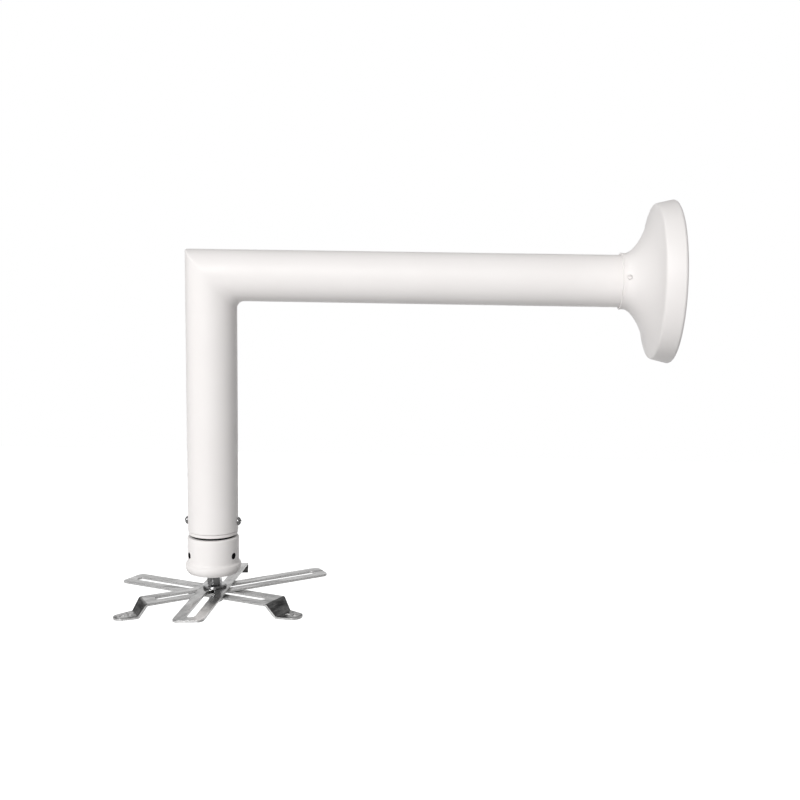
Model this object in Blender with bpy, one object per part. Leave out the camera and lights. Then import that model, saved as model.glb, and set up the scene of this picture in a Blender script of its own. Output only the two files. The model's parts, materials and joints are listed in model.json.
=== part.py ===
"""White wall mount for a projector: an L-shaped tube arm with a bell-shaped wall cover, a
ball head at the foot of its drop tube, and three slotted straps that a projector screws to.

Metres, +Z up. The origin is the centre of the wall plate's back face, +X points into the
wall, the arm reaches along -X and the drop tube hangs along -Z. The head is shown in use:
tipped a few degrees on its ball, with the straps fanned out and slid along their slots.
"""

from math import asin, atan2, copysign, cos, pi, radians, sin, sqrt, tan

import bmesh
import bpy
from mathutils import Matrix, Vector

MM = 0.001
GAP = 0.3 * MM
OVERCUT = 2.0 * MM
ON_AXIS = 0.002 * MM
MERGE = 0.0001 * MM
SHARP = radians(32)

# Arm: one tube, mitred and welded at the elbow
TUBE_R = 25.0 * MM
TUBE_WALL = 1.5 * MM
ARM_REACH = 444.5 * MM
DROP_LENGTH = 254.2 * MM
ELBOW_INNER_R = 7.5 * MM
ELBOW_OUTER_R = 1.5 * MM

# Wall plate, welded to the arm
PLATE_R = 65.0 * MM
PLATE_THICK = 4.0 * MM
PLATE_EDGE_R = 1.0 * MM
WELD_LEG = 4.0 * MM
PLATE_HOLES = 4
PLATE_HOLE_R = 4.25 * MM
PLATE_HOLE_FROM_RIM = 15.0 * MM

# Bell-shaped cover that slides along the arm and hides the plate
COVER_DEPTH = 50.0 * MM
COVER_RIM_R = 3.0 * MM
COVER_RIDGE_ROOM = 9.0 * MM
COVER_BAND = 18.6 * MM
COVER_BAND_TAPER = 3.7 * MM
COVER_RIDGE_ROUND = 2.4 * MM
COVER_WALL = 1.5 * MM
COVER_CLEARANCE = 0.35 * MM
COVER_NECK = 4.0 * MM
COVER_LIP = 0.4 * MM
COVER_LIP_WIDTH = 1.6 * MM
FLARE_TOP_IN = 2.5 * MM
FLARE_TOP_RISE = 1.0 * MM
FLARE_RIM_HANDLE = (22.8 * MM, 4.2 * MM)
FLARE_NECK_HANDLE = 8.8 * MM
COVER_SCREW_R = 2.0 * MM
COVER_SCREW_FROM_LIP = 6.0 * MM
COVER_SCREW_RISE = radians(9.5)
COVER_SCREW_SOCKET = 2.0 * MM

# Insert: a turned sleeve in the tube's foot, with a spigot for the cup
INSERT_LENGTH = 45.0 * MM
INSERT_WALL = 4.2 * MM
INSERT_EDGE = 0.5 * MM
INSERT_RING = 4.4 * MM
INSERT_SEAT_R = 9.0 * MM
INSERT_SEAT_LAND = 15.0 * MM
INSERT_SEAT_CONE = 5.0 * MM
SPIGOT_ABOVE_BALL = 1.2 * MM
CUP_GROOVE = 1.5 * MM
RELIEF_DEPTH = 3.6 * MM
RELIEF_WIDTH = 3.0 * MM
VEE_DEPTH = 3.0 * MM

# Pan-head screws that hold the insert
SIDE_SCREW_R = 2.5 * MM
SIDE_SCREW_HEAD_R = 4.2 * MM
SIDE_SCREW_RIM = 0.8 * MM
SIDE_SCREW_DOME = 2.5 * MM
SIDE_SCREW_ABOVE_END = 9.2 * MM
SIDE_SCREW_CROSS = (4.2 * MM, 1.1 * MM)
SIDE_SCREW_CROSS_DEPTH = 1.5 * MM

# Cup: the ball's socket, a little wider than the tube, with a beaded foot
CUP_OVER_TUBE = 0.6 * MM
CUP_WALL = 4.0 * MM
CUP_HEIGHT = 36.9 * MM
CUP_LIP_ROUND = 1.8 * MM
CUP_FLARE_HEIGHT = 12.4 * MM
CUP_FLARE_HANDLE = 1.5 * MM
CUP_CREASE_HEIGHT = 9.4 * MM
CUP_CREASE_OUT = 1.7 * MM
CUP_CREASE_HANDLE = (1.0 * MM, 0.6 * MM)
CUP_BEAD_OUT = 2.6 * MM
CUP_BEAD_HEIGHTS = (7.5 * MM, 3.8 * MM)
CUP_FOOT_IN = 0.3 * MM
CUP_FOOT_EDGE = 0.7 * MM
CUP_MOUTH_R = 13.0 * MM
CUP_SEAT_R = 11.0 * MM
CUP_FLOOR_BELOW_BALL = 1.0 * MM
CUP_SCREWS = 3
CUP_SCREW_R = 3.0 * MM
CUP_SCREW_CONE = 2.1 * MM
CUP_SCREW_SOCKET = 3.0 * MM
CUP_SCREW_ABOVE_BASE = 19.0 * MM
CUP_SCREW_RECESS = 2.0 * MM
FIRST_CUP_SCREW = radians(93.5)

# Ball stud, and how far the head is tipped about +Y
BALL_R = 14.0 * MM
BALL_ABOVE_BASE = 11.0 * MM
STUD_R = 4.0 * MM
STUD_TIP = 0.8 * MM
STUD_BELOW_NUT = 1.0 * MM
HEAD_TILT = radians(-2.8)

# Hardware on the stud
HEX_FLATS = 13.0 * MM
UPPER_NUT = 11.0 * MM
LOWER_NUT = 4.0 * MM
NUT_FACE_IN = 0.2 * MM
NUT_CHAMFER = radians(30)
UPPER_WASHER_R = 12.0 * MM
UPPER_WASHER = 2.0 * MM
LOWER_WASHER_R = 8.0 * MM
LOWER_WASHER = 1.6 * MM
WASHER_EDGE = 0.2 * MM
LOCK_WASHER_R = 7.0 * MM
LOCK_WASHER = 2.0 * MM
LOCK_WASHER_SPLIT = 1.2 * MM
LOCK_WASHER_SLANT = radians(35)

# Straps: flat with a long slot, then a Z bend down to a two-hole tongue
STRAP_BELOW_BALL = 27.2 * MM
STRAP_THICK = 2.0 * MM
STRAP_WIDTH = 30.0 * MM
STRAP_FLAT = 191.0 * MM
STRAP_CORNER_R = 4.0 * MM
SLOT_WIDTH = 8.6 * MM
SLOT_FROM_END = 10.0 * MM
SLOT_FROM_BEND = 12.0 * MM
WEB_RUN = 7.5 * MM
WEB_DROP = 12.1 * MM
BEND_R = 1.5 * MM
TONGUE_LENGTH = 22.3 * MM
TONGUE_END_R = 10.0 * MM
TONGUE_HOLES = 2
TONGUE_HOLE_R = 2.4 * MM
TONGUE_HOLE_FROM_TIP = 8.3 * MM
TONGUE_HOLE_PITCH = 7.5 * MM

# Each strap from the top one down: its name, its tongue's direction, and flat end to stud
STRAPS = (
    ("strap_upper", radians(87.8), 105.2 * MM),
    ("strap_middle", radians(208.5), 117.6 * MM),
    ("strap_lower", radians(332.0), 115.1 * MM),
)

# Facets round a full turn, and along a small rounded edge and a longer curve
FINE = 56
MEDIUM = 36
SMALL = 20
EDGE_STEPS = 4
CURVE_STEPS = 8

TUBE_BORE_R = TUBE_R - TUBE_WALL
TUBE_END_Z = -DROP_LENGTH
INSERT_R = TUBE_BORE_R - GAP
INSERT_BORE_R = INSERT_R - INSERT_WALL
RING_BASE_Z = TUBE_END_Z - INSERT_RING
SIDE_SCREW_Z = TUBE_END_Z + SIDE_SCREW_ABOVE_END
CUP_R = TUBE_R + CUP_OVER_TUBE
CUP_TOP_Z = RING_BASE_Z - CUP_GROOVE
CUP_BASE_Z = CUP_TOP_Z - CUP_HEIGHT
CUP_BORE_R = CUP_R - CUP_WALL
CUP_SCREW_Z = CUP_BASE_Z + CUP_SCREW_ABOVE_BASE
SPIGOT_R = CUP_BORE_R - GAP
RELIEF_R = SPIGOT_R - RELIEF_DEPTH
BALL_Z = CUP_BASE_Z + BALL_ABOVE_BASE
SOCKET_R = BALL_R + GAP
PLATE_HOLE_CIRCLE_R = PLATE_R - PLATE_HOLE_FROM_RIM
COVER_RIDGE_R = PLATE_R + COVER_RIDGE_ROOM
COVER_BACK_R = COVER_RIDGE_R + COVER_BAND_TAPER
COVER_NECK_R = TUBE_R + COVER_CLEARANCE + COVER_WALL
STUD_HOLE_R = STUD_R + GAP

DROP_AXIS = Matrix.Translation((-ARM_REACH, 0, 0))


def clear_scene():
    for item in list(bpy.data.objects):
        bpy.data.objects.remove(item)


def material(name, colour, roughness, metallic):
    made = bpy.data.materials.new(name)
    made.use_nodes = True
    shader = made.node_tree.nodes["Principled BSDF"]
    shader.inputs["Base Color"].default_value = (*colour, 1.0)
    shader.inputs["Roughness"].default_value = roughness
    shader.inputs["Metallic"].default_value = metallic
    made.diffuse_color = (*colour, 1.0)
    return made


def arc(centre, radius, start, end, steps):
    """Points on an arc, both ends included, with angles in radians from the first axis."""
    turns = [start + (end - start) * i / steps for i in range(steps + 1)]
    return [(centre[0] + radius * cos(a), centre[1] + radius * sin(a)) for a in turns]


def circle(radius, segments):
    return arc((0, 0), radius, 0, 2 * pi, segments)[:-1]


def bezier(p0, p1, p2, p3, steps):
    """Points on a cubic curve, both ends included."""
    points = []
    for i in range(steps + 1):
        t = i / steps
        weights = ((1 - t) ** 3, 3 * t * (1 - t) ** 2, 3 * t * t * (1 - t), t ** 3)
        points.append(tuple(sum(w * p[k] for w, p in zip(weights, (p0, p1, p2, p3))) for k in (0, 1)))
    return points


def rounded(corners, radii, steps):
    """An open path through the corners, with an arc at each inner one."""
    path = [corners[0]]
    for before, corner, after, radius in zip(corners, corners[1:], corners[2:], radii):
        here = Vector(corner)
        back = (Vector(before) - here).normalized()
        ahead = (Vector(after) - here).normalized()
        half = back.angle(ahead) / 2
        centre = here + (back + ahead).normalized() * radius / sin(half)
        first = here + back * radius / tan(half) - centre
        start = atan2(first.y, first.x)
        sweep = copysign(pi - 2 * half, ahead.cross(back))
        path += arc(centre, radius, start, start + sweep, steps)
    path.append(corners[-1])
    return path


def offset(path, distance):
    """The path moved evenly to the right of its own direction."""
    moved = []
    for i, point in enumerate(path):
        sides = []
        for a, b in zip(path[max(i - 1, 0):i + 1], path[max(i - 1, 0) + 1:i + 2]):
            along = (Vector(b) - Vector(a)).normalized()
            sides.append(Vector((along.y, -along.x)))
        mean = sum(sides, Vector((0.0, 0.0))).normalized()
        moved.append(tuple(Vector(point) + mean * distance / mean.dot(sides[0])))
    return moved


def sphere_arc(low, high, steps):
    """Points (radius, height) up the ball's socket, between two heights from its centre."""
    return arc((0, BALL_Z), SOCKET_R, asin(low / SOCKET_R), asin(high / SOCKET_R), steps)


def smooth(mesh):
    mesh.shade_smooth()
    mesh.set_sharp_from_angle(angle=SHARP)


def finish(name, bm, look=None):
    """Turns a bmesh into an object, smooth but for its sharp edges."""
    bmesh.ops.remove_doubles(bm, verts=bm.verts, dist=MERGE)
    bmesh.ops.recalc_face_normals(bm, faces=bm.faces)
    mesh = bpy.data.meshes.new(name)
    bm.to_mesh(mesh)
    bm.free()
    smooth(mesh)
    made = bpy.data.objects.new(name, mesh)
    bpy.context.scene.collection.objects.link(made)
    if look:
        mesh.materials.append(look)
    return made


def turned(name, profile, segments, look=None):
    """A closed profile of (radius, height) points spun about Z."""
    bm = bmesh.new()
    corners = [bm.verts.new((r, 0, z)) for r, z in profile]
    edges = []
    for a, b in zip(corners, corners[1:] + corners[:1]):
        if max(a.co.x, b.co.x) > ON_AXIS:
            edges.append(bm.edges.new((a, b)))
    bmesh.ops.spin(bm, geom=corners + edges, cent=(0, 0, 0), axis=(0, 0, 1), angle=2 * pi,
                   steps=segments, use_merge=True)
    return finish(name, bm, look)


def prism(name, outline, low, high, look=None):
    """A flat outline of (x, y) points, extruded from one height to another."""
    bm = bmesh.new()
    face = bm.faces.new([bm.verts.new((x, y, low)) for x, y in outline])
    grown = bmesh.ops.extrude_face_region(bm, geom=[face])
    lifted = [item for item in grown["geom"] if isinstance(item, bmesh.types.BMVert)]
    bmesh.ops.translate(bm, verts=lifted, vec=(0, 0, high - low))
    return finish(name, bm, look)


def rod(radius, low, high):
    return prism("cutter", circle(radius, SMALL), low, high)


def hexagon(flats):
    return circle(flats / sqrt(3), 6)


def shape(target, tool, operation="DIFFERENCE"):
    """Cuts the target with the tool, or keeps only what is inside it, and drops the tool."""
    cut = target.modifiers.new("cut", "BOOLEAN")
    cut.operation = operation
    cut.solver = "EXACT"
    cut.object = tool
    bpy.context.view_layer.update()
    graph = bpy.context.evaluated_depsgraph_get()
    result = bpy.data.meshes.new_from_object(target.evaluated_get(graph))
    target.modifiers.clear()
    target.data = result
    result.name = target.name
    bpy.data.objects.remove(tool)


def place(item, matrix, parent=None):
    item.parent = parent
    item.matrix_local = matrix
    return item


def empty(name, matrix):
    made = bpy.data.objects.new(name, None)
    bpy.context.scene.collection.objects.link(made)
    return place(made, matrix)


def facing(direction):
    """A rotation that takes the local +Z axis to the given direction."""
    return Vector((0, 0, 1)).rotation_difference(Vector(direction)).to_matrix().to_4x4()


def arm_tube(look):
    """Each line along the tube is a straight run, a corner arc and a straight drop."""
    bm = bmesh.new()
    walls = []
    for radius in (TUBE_R, TUBE_BORE_R):
        rings = [[] for _ in range(CURVE_STEPS + 3)]
        for i in range(FINE):
            turn = 2 * pi * i / FINE
            y, z = radius * sin(turn), radius * cos(turn)
            inward = (1 - cos(turn)) / 2
            bend = ELBOW_OUTER_R + (ELBOW_INNER_R - ELBOW_OUTER_R) * inward ** 2
            x = -ARM_REACH - z
            path = [(-PLATE_THICK - GAP, z)]
            path += arc((x + bend, z - bend), bend, pi / 2, pi, CURVE_STEPS)
            path += [(x, TUBE_END_Z)]
            for ring, (px, pz) in zip(rings, path):
                ring.append(bm.verts.new((px, y, pz)))
        walls.append(rings)
    loop = walls[0] + walls[1][::-1]
    for a, b in zip(loop, loop[1:] + loop[:1]):
        for i in range(FINE):
            j = (i + 1) % FINE
            bm.faces.new((a[i], a[j], b[j], b[i]))
    tube = finish("arm_tube", bm, look)
    for side in (1, -1):
        hole = rod(SIDE_SCREW_R + GAP, TUBE_BORE_R - OVERCUT, TUBE_R + OVERCUT)
        shape(tube, place(hole, side_screw_place(side)))
    return tube


def wall_plate(look):
    """A disc with a rounded rim, a weld fillet round the tube and holes for wall screws."""
    bore = TUBE_R + GAP
    rim_centre = (PLATE_R - PLATE_EDGE_R, PLATE_THICK - PLATE_EDGE_R)
    profile = [(0, 0), (PLATE_R, 0)] + arc(rim_centre, PLATE_EDGE_R, 0, pi / 2, EDGE_STEPS)
    profile += [(bore + WELD_LEG, PLATE_THICK), (bore, PLATE_THICK + WELD_LEG), (bore, PLATE_THICK)]
    plate = turned("wall_plate", profile + [(0, PLATE_THICK)], FINE, look)
    for i in range(PLATE_HOLES):
        turn = 2 * pi * (i + 0.5) / PLATE_HOLES
        hole = rod(PLATE_HOLE_R, -OVERCUT, PLATE_THICK + OVERCUT)
        hole.location = (PLATE_HOLE_CIRCLE_R * cos(turn), PLATE_HOLE_CIRCLE_R * sin(turn), 0)
        shape(plate, hole)
    return place(plate, facing((-1, 0, 0)))


def cover_screw_place():
    """Local +Z is the screw's axis, in the cover's frame, whose Z is the depth from the wall."""
    direction = (sin(COVER_SCREW_RISE), -cos(COVER_SCREW_RISE), 0)
    return Matrix.Translation((0, 0, COVER_DEPTH - COVER_SCREW_FROM_LIP)) @ facing(direction)


def wall_cover(look):
    """A spun bell: a rolled rim, a tapered band, a rounded ridge and a flare to the neck."""
    rim = arc((COVER_BACK_R - COVER_RIM_R, COVER_RIM_R), COVER_RIM_R, -pi / 2, 0, EDGE_STEPS)
    flare_top = (COVER_RIDGE_R - FLARE_TOP_IN, COVER_BAND + FLARE_TOP_RISE)
    band = rounded([rim[-1], (COVER_RIDGE_R, COVER_BAND), flare_top], [COVER_RIDGE_ROUND], EDGE_STEPS)
    neck = (COVER_NECK_R, COVER_DEPTH - COVER_NECK)
    rim_handle = (flare_top[0] - FLARE_RIM_HANDLE[0], flare_top[1] + FLARE_RIM_HANDLE[1])
    neck_handle = (neck[0], neck[1] - FLARE_NECK_HANDLE)
    flare = bezier(flare_top, rim_handle, neck_handle, neck, CURVE_STEPS)
    outer = rim[:-1] + band[:-1] + flare + [(COVER_NECK_R, COVER_DEPTH)]
    inner = offset(outer, -COVER_WALL)
    lip_r = COVER_NECK_R + COVER_LIP
    lip_base = COVER_DEPTH - COVER_LIP_WIDTH
    lip = [(COVER_NECK_R, lip_base), (lip_r, lip_base + COVER_LIP),
           (lip_r, COVER_DEPTH - COVER_LIP), (COVER_NECK_R, COVER_DEPTH)]
    cover = turned("wall_cover", outer[:-1] + lip + inner[::-1], FINE, look)
    hole = rod(COVER_SCREW_R + GAP, TUBE_R - OVERCUT, COVER_RIDGE_R)
    shape(cover, place(hole, cover_screw_place()))
    return place(cover, facing((-1, 0, 0)))


def set_screw(name, radius, inner, outer, socket, cone, look):
    """A headless screw along local +Z: a cone or flat inner end and a hex socket outside."""
    profile = [(0, inner - cone), (radius, inner), (radius, outer), (0, outer)]
    screw = turned(name, profile, SMALL, look)
    shape(screw, prism("cutter", hexagon(socket), (inner + outer) / 2, outer + OVERCUT))
    return screw


def cover_screw(look):
    screw = set_screw("cover_screw", COVER_SCREW_R, TUBE_R + GAP, COVER_NECK_R,
                      COVER_SCREW_SOCKET, 0, look)
    return place(screw, facing((-1, 0, 0)) @ cover_screw_place())


def side_screw_place(side):
    """Local +Z points out of the drop tube, to +X or -X."""
    return Matrix.Translation((-ARM_REACH, 0, SIDE_SCREW_Z)) @ facing((side, 0, 0))


def side_screw(name, side, look):
    """A pan-head screw with a cross recess, from the insert's wall to outside the tube."""
    seat = TUBE_R + GAP
    shoulder = seat + SIDE_SCREW_RIM
    top = shoulder + SIDE_SCREW_DOME
    dome_r = (SIDE_SCREW_HEAD_R ** 2 + SIDE_SCREW_DOME ** 2) / (2 * SIDE_SCREW_DOME)
    dome = arc((0, top - dome_r), dome_r, asin(1 - SIDE_SCREW_DOME / dome_r), pi / 2, EDGE_STEPS)
    profile = [(0, INSERT_BORE_R + GAP), (SIDE_SCREW_R, INSERT_BORE_R + GAP), (SIDE_SCREW_R, seat)]
    screw = turned(name, profile + [(SIDE_SCREW_HEAD_R, seat)] + dome, SMALL, look)
    x, y = SIDE_SCREW_CROSS[0] / 2, SIDE_SCREW_CROSS[1] / 2
    bar_outline = [(-x, -y), (x, -y), (x, y), (-x, y)]
    for turn in (pi / 4, -pi / 4):
        bar = prism("cutter", bar_outline, top - SIDE_SCREW_CROSS_DEPTH, top + OVERCUT)
        bar.rotation_euler.z = turn
        shape(screw, bar)
    return place(screw, side_screw_place(side))


def tube_insert(look):
    """A sleeve held in the tube, its visible ring, and below a relief the cup's spigot."""
    top = TUBE_END_Z + INSERT_LENGTH
    spigot_base = BALL_Z + SPIGOT_ABOVE_BALL
    outside = [(INSERT_R - INSERT_EDGE, top), (INSERT_R, top - INSERT_EDGE),
               (INSERT_R, RING_BASE_Z + INSERT_EDGE), (INSERT_R - INSERT_EDGE, RING_BASE_Z),
               (RELIEF_R, RING_BASE_Z), (RELIEF_R, RING_BASE_Z - RELIEF_WIDTH),
               (SPIGOT_R, RING_BASE_Z - RELIEF_WIDTH), (SPIGOT_R, CUP_SCREW_Z + VEE_DEPTH),
               (SPIGOT_R - VEE_DEPTH, CUP_SCREW_Z), (SPIGOT_R, CUP_SCREW_Z - VEE_DEPTH),
               (SPIGOT_R, spigot_base)]
    seat = sphere_arc(SPIGOT_ABOVE_BALL, sqrt(SOCKET_R ** 2 - INSERT_SEAT_R ** 2), EDGE_STEPS)
    land_top = seat[-1][1] + INSERT_SEAT_LAND
    bore = [(INSERT_SEAT_R, land_top), (INSERT_BORE_R, land_top + INSERT_SEAT_CONE),
            (INSERT_BORE_R, top)]
    insert = place(turned("tube_insert", outside + seat + bore, FINE, look), DROP_AXIS)
    for side in (1, -1):
        hole = rod(SIDE_SCREW_R + GAP, INSERT_BORE_R - OVERCUT, INSERT_R + OVERCUT)
        shape(insert, place(hole, side_screw_place(side)))
    return insert


def cup_screw_places():
    for i in range(CUP_SCREWS):
        turn = FIRST_CUP_SCREW + 2 * pi * i / CUP_SCREWS
        yield DROP_AXIS @ Matrix.Translation((0, 0, CUP_SCREW_Z)) @ facing((cos(turn), sin(turn), 0))


def cup(look):
    """A turned socket: rounded lip, straight bore, beaded foot and the ball's lower seat."""
    lip = arc((CUP_R - CUP_LIP_ROUND, CUP_TOP_Z - CUP_LIP_ROUND), CUP_LIP_ROUND, pi / 2, 0, EDGE_STEPS)
    crease = (CUP_R + CUP_CREASE_OUT, CUP_BASE_Z + CUP_CREASE_HEIGHT)
    crease_handle = (crease[0] - CUP_CREASE_HANDLE[0], crease[1] + CUP_CREASE_HANDLE[1])
    flare_z = CUP_BASE_Z + CUP_FLARE_HEIGHT
    flare = bezier((CUP_R, flare_z), (CUP_R, flare_z - CUP_FLARE_HANDLE), crease_handle, crease, EDGE_STEPS)
    foot = (CUP_R - CUP_FOOT_IN, CUP_BASE_Z + CUP_FOOT_EDGE)
    bead_handles = [(CUP_R + CUP_BEAD_OUT, CUP_BASE_Z + height) for height in CUP_BEAD_HEIGHTS]
    bead = bezier(crease, *bead_handles, foot, CURVE_STEPS)
    base = [(foot[0] - CUP_FOOT_EDGE, CUP_BASE_Z), (CUP_MOUTH_R, CUP_BASE_Z)]
    seat = sphere_arc(-sqrt(SOCKET_R ** 2 - CUP_SEAT_R ** 2), -CUP_FLOOR_BELOW_BALL, EDGE_STEPS)
    bore = [(CUP_BORE_R, seat[-1][1]), (CUP_BORE_R, CUP_TOP_Z)]
    made = place(turned("cup", lip + flare + bead[1:] + base + seat + bore, FINE, look), DROP_AXIS)
    for spot in cup_screw_places():
        shape(made, place(rod(CUP_SCREW_R + GAP, CUP_BORE_R - OVERCUT, CUP_R + OVERCUT), spot))
    return made


def ball_stud(end, look):
    """A ball with a plain shank down to the given height; the origin is the ball's centre."""
    ball = arc((0, 0), BALL_R, pi / 2, asin(STUD_R / BALL_R) - pi / 2, MEDIUM // 2)
    shank = [(STUD_R, end + STUD_TIP), (STUD_R - STUD_TIP, end), (0, end)]
    return turned("ball_stud", ball + shank, MEDIUM, look)


def hex_nut(name, low, height, look):
    """A hex nut with both rims chamfered at 30 degrees and a clear bore for the stud."""
    high = low + height
    nut = prism(name, hexagon(HEX_FLATS), low - OVERCUT, high + OVERCUT, look)
    face_r = HEX_FLATS / 2 - NUT_FACE_IN
    reach = HEX_FLATS / sqrt(3) + OVERCUT
    chamfer = (reach - face_r) * tan(NUT_CHAMFER)
    barrel = [(0, low), (face_r, low), (reach, low + chamfer),
              (reach, high - chamfer), (face_r, high), (0, high)]
    shape(nut, turned("cutter", barrel, MEDIUM), "INTERSECT")
    shape(nut, rod(STUD_HOLE_R, low - OVERCUT, high + OVERCUT))
    return nut


def washer(name, radius, low, thickness, look):
    high = low + thickness
    profile = [(STUD_HOLE_R, high), (radius - WASHER_EDGE, high), (radius, high - WASHER_EDGE),
               (radius, low + WASHER_EDGE), (radius - WASHER_EDGE, low), (STUD_HOLE_R, low)]
    return turned(name, profile, MEDIUM, look)


def lock_washer(low, look):
    """A spring washer: a ring with one slanting split."""
    ring = washer("lock_washer", LOCK_WASHER_R, low, LOCK_WASHER, look)
    x, y = LOCK_WASHER_R + OVERCUT, LOCK_WASHER_SPLIT / 2
    depth = LOCK_WASHER + OVERCUT
    split = prism("cutter", [(0, -y), (x, -y), (x, y), (0, y)], -depth, depth)
    middle = Matrix.Translation((0, 0, low + LOCK_WASHER / 2))
    shape(ring, place(split, middle @ Matrix.Rotation(LOCK_WASHER_SLANT, 4, "X")))
    return ring


def strap_outline():
    """Seen from above, from the flat end at x = 0 to the tongue's round end."""
    half = STRAP_WIDTH / 2
    tongue = STRAP_FLAT + WEB_RUN
    end = tongue + TONGUE_LENGTH - TONGUE_END_R
    taper = (half - TONGUE_END_R) / (end - tongue)
    side = arc((STRAP_CORNER_R, half - STRAP_CORNER_R), STRAP_CORNER_R, pi, pi / 2, EDGE_STEPS)
    side += [(tongue, half)] + arc((end, 0), TONGUE_END_R, pi / 2 - taper, 0, CURVE_STEPS)
    return side + [(x, -y) for x, y in side[-2::-1]]


def strap_mesh(look):
    """Local +X runs from the flat end to the tongue's tip; the flat's top face is at z = 0."""
    tip = STRAP_FLAT + WEB_RUN + TONGUE_LENGTH
    corners = [(-OVERCUT, 0), (STRAP_FLAT, 0),
               (STRAP_FLAT + WEB_RUN, -WEB_DROP), (tip + OVERCUT, -WEB_DROP)]
    top = rounded(corners, [BEND_R + STRAP_THICK, BEND_R], EDGE_STEPS)
    half = STRAP_WIDTH / 2 + OVERCUT
    strap = prism("strap", top + offset(top, STRAP_THICK)[::-1], -half, half, look)
    strap.data.transform(Matrix.Rotation(pi / 2, 4, "X"))
    depth = WEB_DROP + STRAP_THICK + OVERCUT
    shape(strap, prism("cutter", strap_outline(), -depth, OVERCUT), "INTERSECT")

    r = SLOT_WIDTH / 2
    slot = arc((SLOT_FROM_END + r, 0), r, pi / 2, 3 * pi / 2, CURVE_STEPS)
    slot += arc((STRAP_FLAT - SLOT_FROM_BEND - r, 0), r, -pi / 2, pi / 2, CURVE_STEPS)
    shape(strap, prism("cutter", slot, -depth, OVERCUT))
    for i in range(TONGUE_HOLES):
        hole = rod(TONGUE_HOLE_R, -depth, OVERCUT)
        hole.location.x = tip - TONGUE_HOLE_FROM_TIP - i * TONGUE_HOLE_PITCH
        shape(strap, hole)
    mesh = strap.data
    bpy.data.objects.remove(strap)
    smooth(mesh)
    return mesh


def head(chrome, steel):
    """The ball stud and all that it carries, stacked down the tipped stud axis."""
    tip = Matrix.Translation((0, 0, BALL_Z)) @ Matrix.Rotation(HEAD_TILT, 4, "Y")
    axis = empty("head_axis", DROP_AXIS @ tip)

    washer_low = GAP - STRAP_BELOW_BALL
    nut_low = washer_low + UPPER_WASHER + GAP
    pieces = [washer("upper_washer", UPPER_WASHER_R, washer_low, UPPER_WASHER, chrome),
              hex_nut("upper_nut", nut_low, UPPER_NUT, chrome)]

    mesh = strap_mesh(chrome)
    level = -STRAP_BELOW_BALL
    for name, turn, reach in STRAPS:
        strap = bpy.data.objects.new(name, mesh)
        bpy.context.scene.collection.objects.link(strap)
        swivel = Matrix.Translation((0, 0, level)) @ Matrix.Rotation(turn, 4, "Z")
        place(strap, swivel @ Matrix.Translation((-reach, 0, 0)), axis)
        level -= STRAP_THICK + GAP

    lower_washer_low = level - LOWER_WASHER
    lock_washer_low = lower_washer_low - GAP - LOCK_WASHER
    lower_nut_low = lock_washer_low - GAP - LOWER_NUT
    pieces += [washer("lower_washer", LOWER_WASHER_R, lower_washer_low, LOWER_WASHER, chrome),
               lock_washer(lock_washer_low, chrome),
               hex_nut("lower_nut", lower_nut_low, LOWER_NUT, chrome),
               ball_stud(lower_nut_low - STUD_BELOW_NUT, steel)]
    for piece in pieces:
        place(piece, Matrix.Identity(4), axis)


def build():
    clear_scene()
    white = material("white_powder_coat", (0.86, 0.86, 0.85), 0.32, 0.0)
    chrome = material("bright_chrome", (0.78, 0.78, 0.79), 0.12, 1.0)
    steel = material("bright_steel", (0.62, 0.62, 0.64), 0.3, 1.0)
    dark = material("black_steel", (0.06, 0.06, 0.07), 0.45, 1.0)

    arm_tube(white)
    wall_plate(white)
    wall_cover(white)
    cover_screw(dark)
    tube_insert(white)
    side_screw("side_screw_right", 1, chrome)
    side_screw("side_screw_left", -1, chrome)
    cup(white)
    for i, spot in enumerate(cup_screw_places()):
        screw = set_screw(f"cup_screw_{i + 1}", CUP_SCREW_R, SPIGOT_R + GAP, CUP_R - CUP_SCREW_RECESS,
                          CUP_SCREW_SOCKET, CUP_SCREW_CONE, dark)
        place(screw, spot)
    head(chrome, steel)


build()
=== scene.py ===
"""Looks of the white projector wall mount: powder-coated tube arm, bell cover and ball head,
with bright plated straps and hardware, on a plain white studio background.

Metres, +Z up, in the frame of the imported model. Each piece is placed by the frame's nodes and
joints, and rides on the body of the node that it stands for.
"""

import json
from math import asin, atan2, ceil, copysign, cos, pi, radians, sin, sqrt, tan

import bmesh
import bpy
from mathutils import Matrix, Vector

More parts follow.
